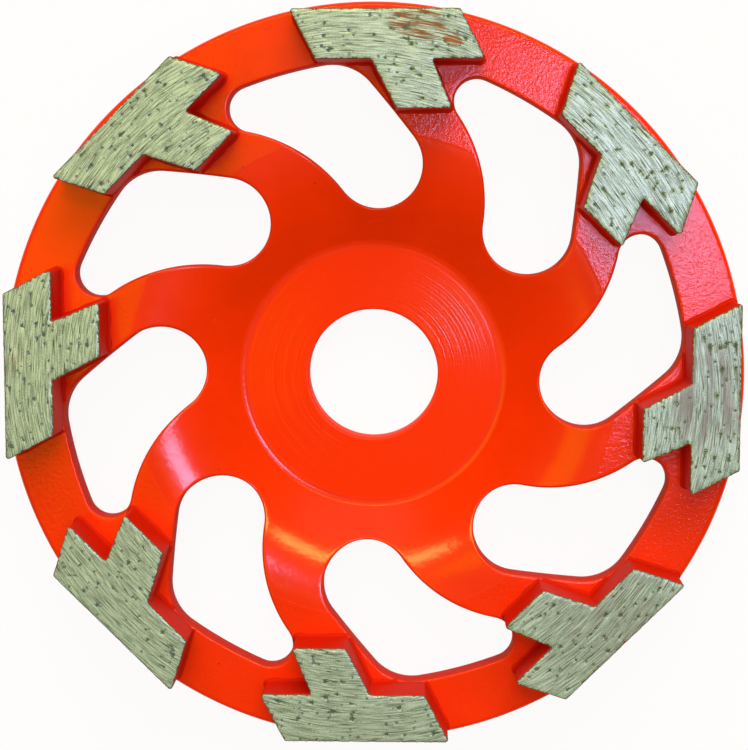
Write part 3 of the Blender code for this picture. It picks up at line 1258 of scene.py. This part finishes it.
def patch_weight(patches, x, y):
    """The strongest of the patches at a place."""
    radius, angle = sqrt(x * x + y * y) / MM, atan2(y, x)
    weight = 0.0
    for azimuth, middle, half_angle, half_width, strength in patches:
        away = (angle - radians(azimuth) + pi) % (2 * pi) - pi
        distance = (away / radians(half_angle)) ** 2 + ((radius - middle) / half_width) ** 2
        weight = max(weight, strength * (1 - smooth(0.3, 1.6, distance)))
    return weight


def finish_marks(mesh, number):
    """Adds smear and tint values, and the map whose first axis runs along the grinding marks."""
    for name, patches in (("smear", SMEARS), ("cool", COOL_PATCHES)):
        point_values(mesh, name, [patch_weight(patches, *v.co.xy) for v in mesh.vertices])
    grind = mesh.uv_layers.new(name="grind")
    middle, lean = (number - 1) * PITCH, tan(radians(SCRATCH_LEANS[number - 1]))
    for loop in mesh.loops:
        co = mesh.vertices[loop.vertex_index].co
        radius = sqrt(co.x * co.x + co.y * co.y) / MM
        away = (atan2(co.y, co.x) - middle + pi) % (2 * pi) - pi
        across = radius - away * GRIND_RADIUS * lean + 0.3 * noise.noise(co * 110.0)
        grind.data[loop.index].uv = (away * GRIND_RADIUS + number * 40, across + number * 13)


def build_grit(context, places):
    """Crystals that stand in the pits, and small ones all over the ground faces."""
    sizes = context.scene.segment_sizes
    top = sizes.height - GROUND_DROP
    ground = bmesh.new()
    for number in range(1, COUNT + 1):
        source = bpy.data.objects["segment_%d" % number].data
        for face in source.polygons:
            corners = [source.vertices[i].co for i in face.vertices]
            if all(abs(c.z - top) < 0.001 * MM for c in corners):
                ground.faces.new([ground.verts.new(c) for c in corners])
    mesh = bpy.data.meshes.new("ground_faces")
    ground.to_mesh(mesh)
    ground.free()
    faces = new_object("ground_faces", mesh)
    spots = bpy.data.meshes.new("diamond_grit")
    spots.from_pydata(places, [], [])
    grit = new_object("diamond_grit", spots)
    set_through(
        grit, grit_tree(),
        {"Ground Faces": faces, "Density": sizes.grit_density, "Finish": grit_finish()},
    )
    bpy.data.objects.remove(faces)
    for v in grit.data.vertices:
        v.co.z = min(sizes.height, max(top - 1.0 * MM, v.co.z))
    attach(grit, "root")


def build_segments(context):
    """All eight segments, and the crystals in them."""
    finish = segment_finish(context.scene.wheel_colours)
    loop = [p for p, _ in window_loop(context.scene.cup_sizes, 1.0 * MM)]
    windows = [[Matrix.Rotation(PITCH * i, 2) @ p for p in loop] for i in (-1, 0, 1)]
    places = []
    for number in range(1, COUNT + 1):
        segment, spots = build_segment(context, number, windows)
        segment.data.materials.append(finish)
        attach(segment, "root")
        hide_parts("diamond_segment_%d" % number)
        places += spots
    build_grit(context, places)


# Stage


def area_light(name, place, size, power, colour):
    """A panel that faces the middle of the rim flat, from which its place is counted."""
    middle = Vector((0.0, 0.0, CUP_BOX[1][2]))
    data = bpy.data.lights.new(name, "AREA")
    data.shape = "RECTANGLE"
    data.size, data.size_y = size
    data.energy = power
    data.color = colour
    light = new_object(name, data)
    light.location = (place[0], place[1], CUP_BOX[1][2] + place[2])
    light.rotation_euler = (middle - light.location).to_track_quat("-Z", "Y").to_euler()


def sun_light(name, azimuth, elevation, spread, share):
    """A broad lamp that gives this share of a plain level on a level face, and no glint."""
    data = bpy.data.lights.new(name, "SUN")
    data.energy = pi * share / sin(radians(elevation))
    data.angle = radians(spread)
    data.color = TINTS["sunlight"]
    lamp = new_object(name, data)
    flat, rise = radians(azimuth), radians(elevation)
    direction = Vector((cos(flat) * cos(rise), sin(flat) * cos(rise), sin(rise)))
    lamp.location = direction
    lamp.rotation_euler = (-direction).to_track_quat("-Z", "Y").to_euler()
    lamp.visible_glossy = False


def build_world():
    """Darker overhead than towards the horizon."""
    world = bpy.data.worlds.new("studio")
    bpy.context.scene.world = world
    world.use_nodes = True
    tree = world.node_tree
    place = add(tree, "ShaderNodeTexCoord").outputs["Generated"]
    split = add(tree, "ShaderNodeSeparateXYZ", set={0: place})
    rise = between(tree, split.outputs["Z"], sin(radians(16)), sin(radians(30)))
    colour = mix_colour(tree, rise, TINTS["horizon"], TINTS["overhead"])
    feed(tree, tree.nodes["Background"], {"Color": colour, "Strength": 1.0})
    arrange(tree)


def build_stage(context):
    half, low = 4.0, -0.02 * MM
    mesh = bpy.data.meshes.new("floor")
    corners = [(-half, -half, low), (half, -half, low), (half, half, low), (-half, half, low)]
    mesh.from_pydata(corners, [], [(0, 1, 2, 3)])
    floor = new_object("floor", mesh)
    floor.data.materials.append(floor_finish(context.scene.wheel_colours))
    build_world()
    for panel in PANELS:
        area_light(*panel)
    for sun in SUNS:
        sun_light(*sun)


def build_camera(context):
    """The place, tilt and lens that were solved from the photo."""
    data = bpy.data.cameras.new("camera")
    data.sensor_width = SENSOR
    data.lens = CAMERA_LENS
    data.clip_start = 0.01
    camera = new_object("camera", data)
    about_x, about_y = (radians(angle) for angle in CAMERA_TILT)
    tilt = Matrix.Rotation(about_x, 3, "X") @ Matrix.Rotation(about_y, 3, "Y")
    x, y, z = CAMERA_PLACE
    place = Matrix.Translation((x, y, z + CUP_BOX[1][2]))
    camera.matrix_world = place @ tilt.transposed().to_4x4()
    context.scene.camera = camera
    context.scene.view_settings.view_transform = "Standard"


# Add-on


class WHEEL_OT_cup(bpy.types.Operator):
    """Build the painted steel cup with its eight swept windows"""

    bl_idname = "wheel.cup"
    bl_label = "Steel Cup"

    def execute(self, context):
        build_cup(context)
        return {"FINISHED"}


class WHEEL_OT_segments(bpy.types.Operator):
    """Build the eight diamond segments and the crystals in their ground faces"""

    bl_idname = "wheel.segments"
    bl_label = "Diamond Segments"

    def execute(self, context):
        build_segments(context)
        return {"FINISHED"}


class WHEEL_OT_stage(bpy.types.Operator):
    """Set the pale floor, the studio light and the camera"""

    bl_idname = "wheel.stage"
    bl_label = "Stage"

    def execute(self, context):
        build_stage(context)
        build_camera(context)
        return {"FINISHED"}


class WHEEL_PT_panel(bpy.types.Panel):
    """Lists the pieces of the wheel"""

    bl_idname = "WHEEL_PT_panel"
    bl_label = "Cup Wheel"
    bl_space_type = "VIEW_3D"
    bl_region_type = "UI"
    bl_category = "Cup Wheel"

    def draw(self, context):
        layout = self.layout
        for group in (
            context.scene.cup_sizes, context.scene.segment_sizes, context.scene.wheel_colours
        ):
            box = layout.box()
            for key in group.__annotations__:
                box.prop(group, key)
        for operator in OPERATORS:
            layout.operator(operator.bl_idname)


OPERATORS = (WHEEL_OT_cup, WHEEL_OT_segments, WHEEL_OT_stage)
CLASSES = (CupSizes, SegmentSizes, WheelColours, *OPERATORS, WHEEL_PT_panel)


def register():
    for item in CLASSES:
        bpy.utils.register_class(item)
    bpy.types.Scene.cup_sizes = PointerProperty(type=CupSizes)
    bpy.types.Scene.segment_sizes = PointerProperty(type=SegmentSizes)
    bpy.types.Scene.wheel_colours = PointerProperty(type=WheelColours)


def unregister():
    del bpy.types.Scene.wheel_colours
    del bpy.types.Scene.segment_sizes
    del bpy.types.Scene.cup_sizes
    for item in reversed(CLASSES):
        bpy.utils.unregister_class(item)


def main():
    register()
    bpy.ops.wheel.cup()
    bpy.ops.wheel.segments()
    bpy.ops.wheel.stage()


if __name__ == "__main__":
    main()
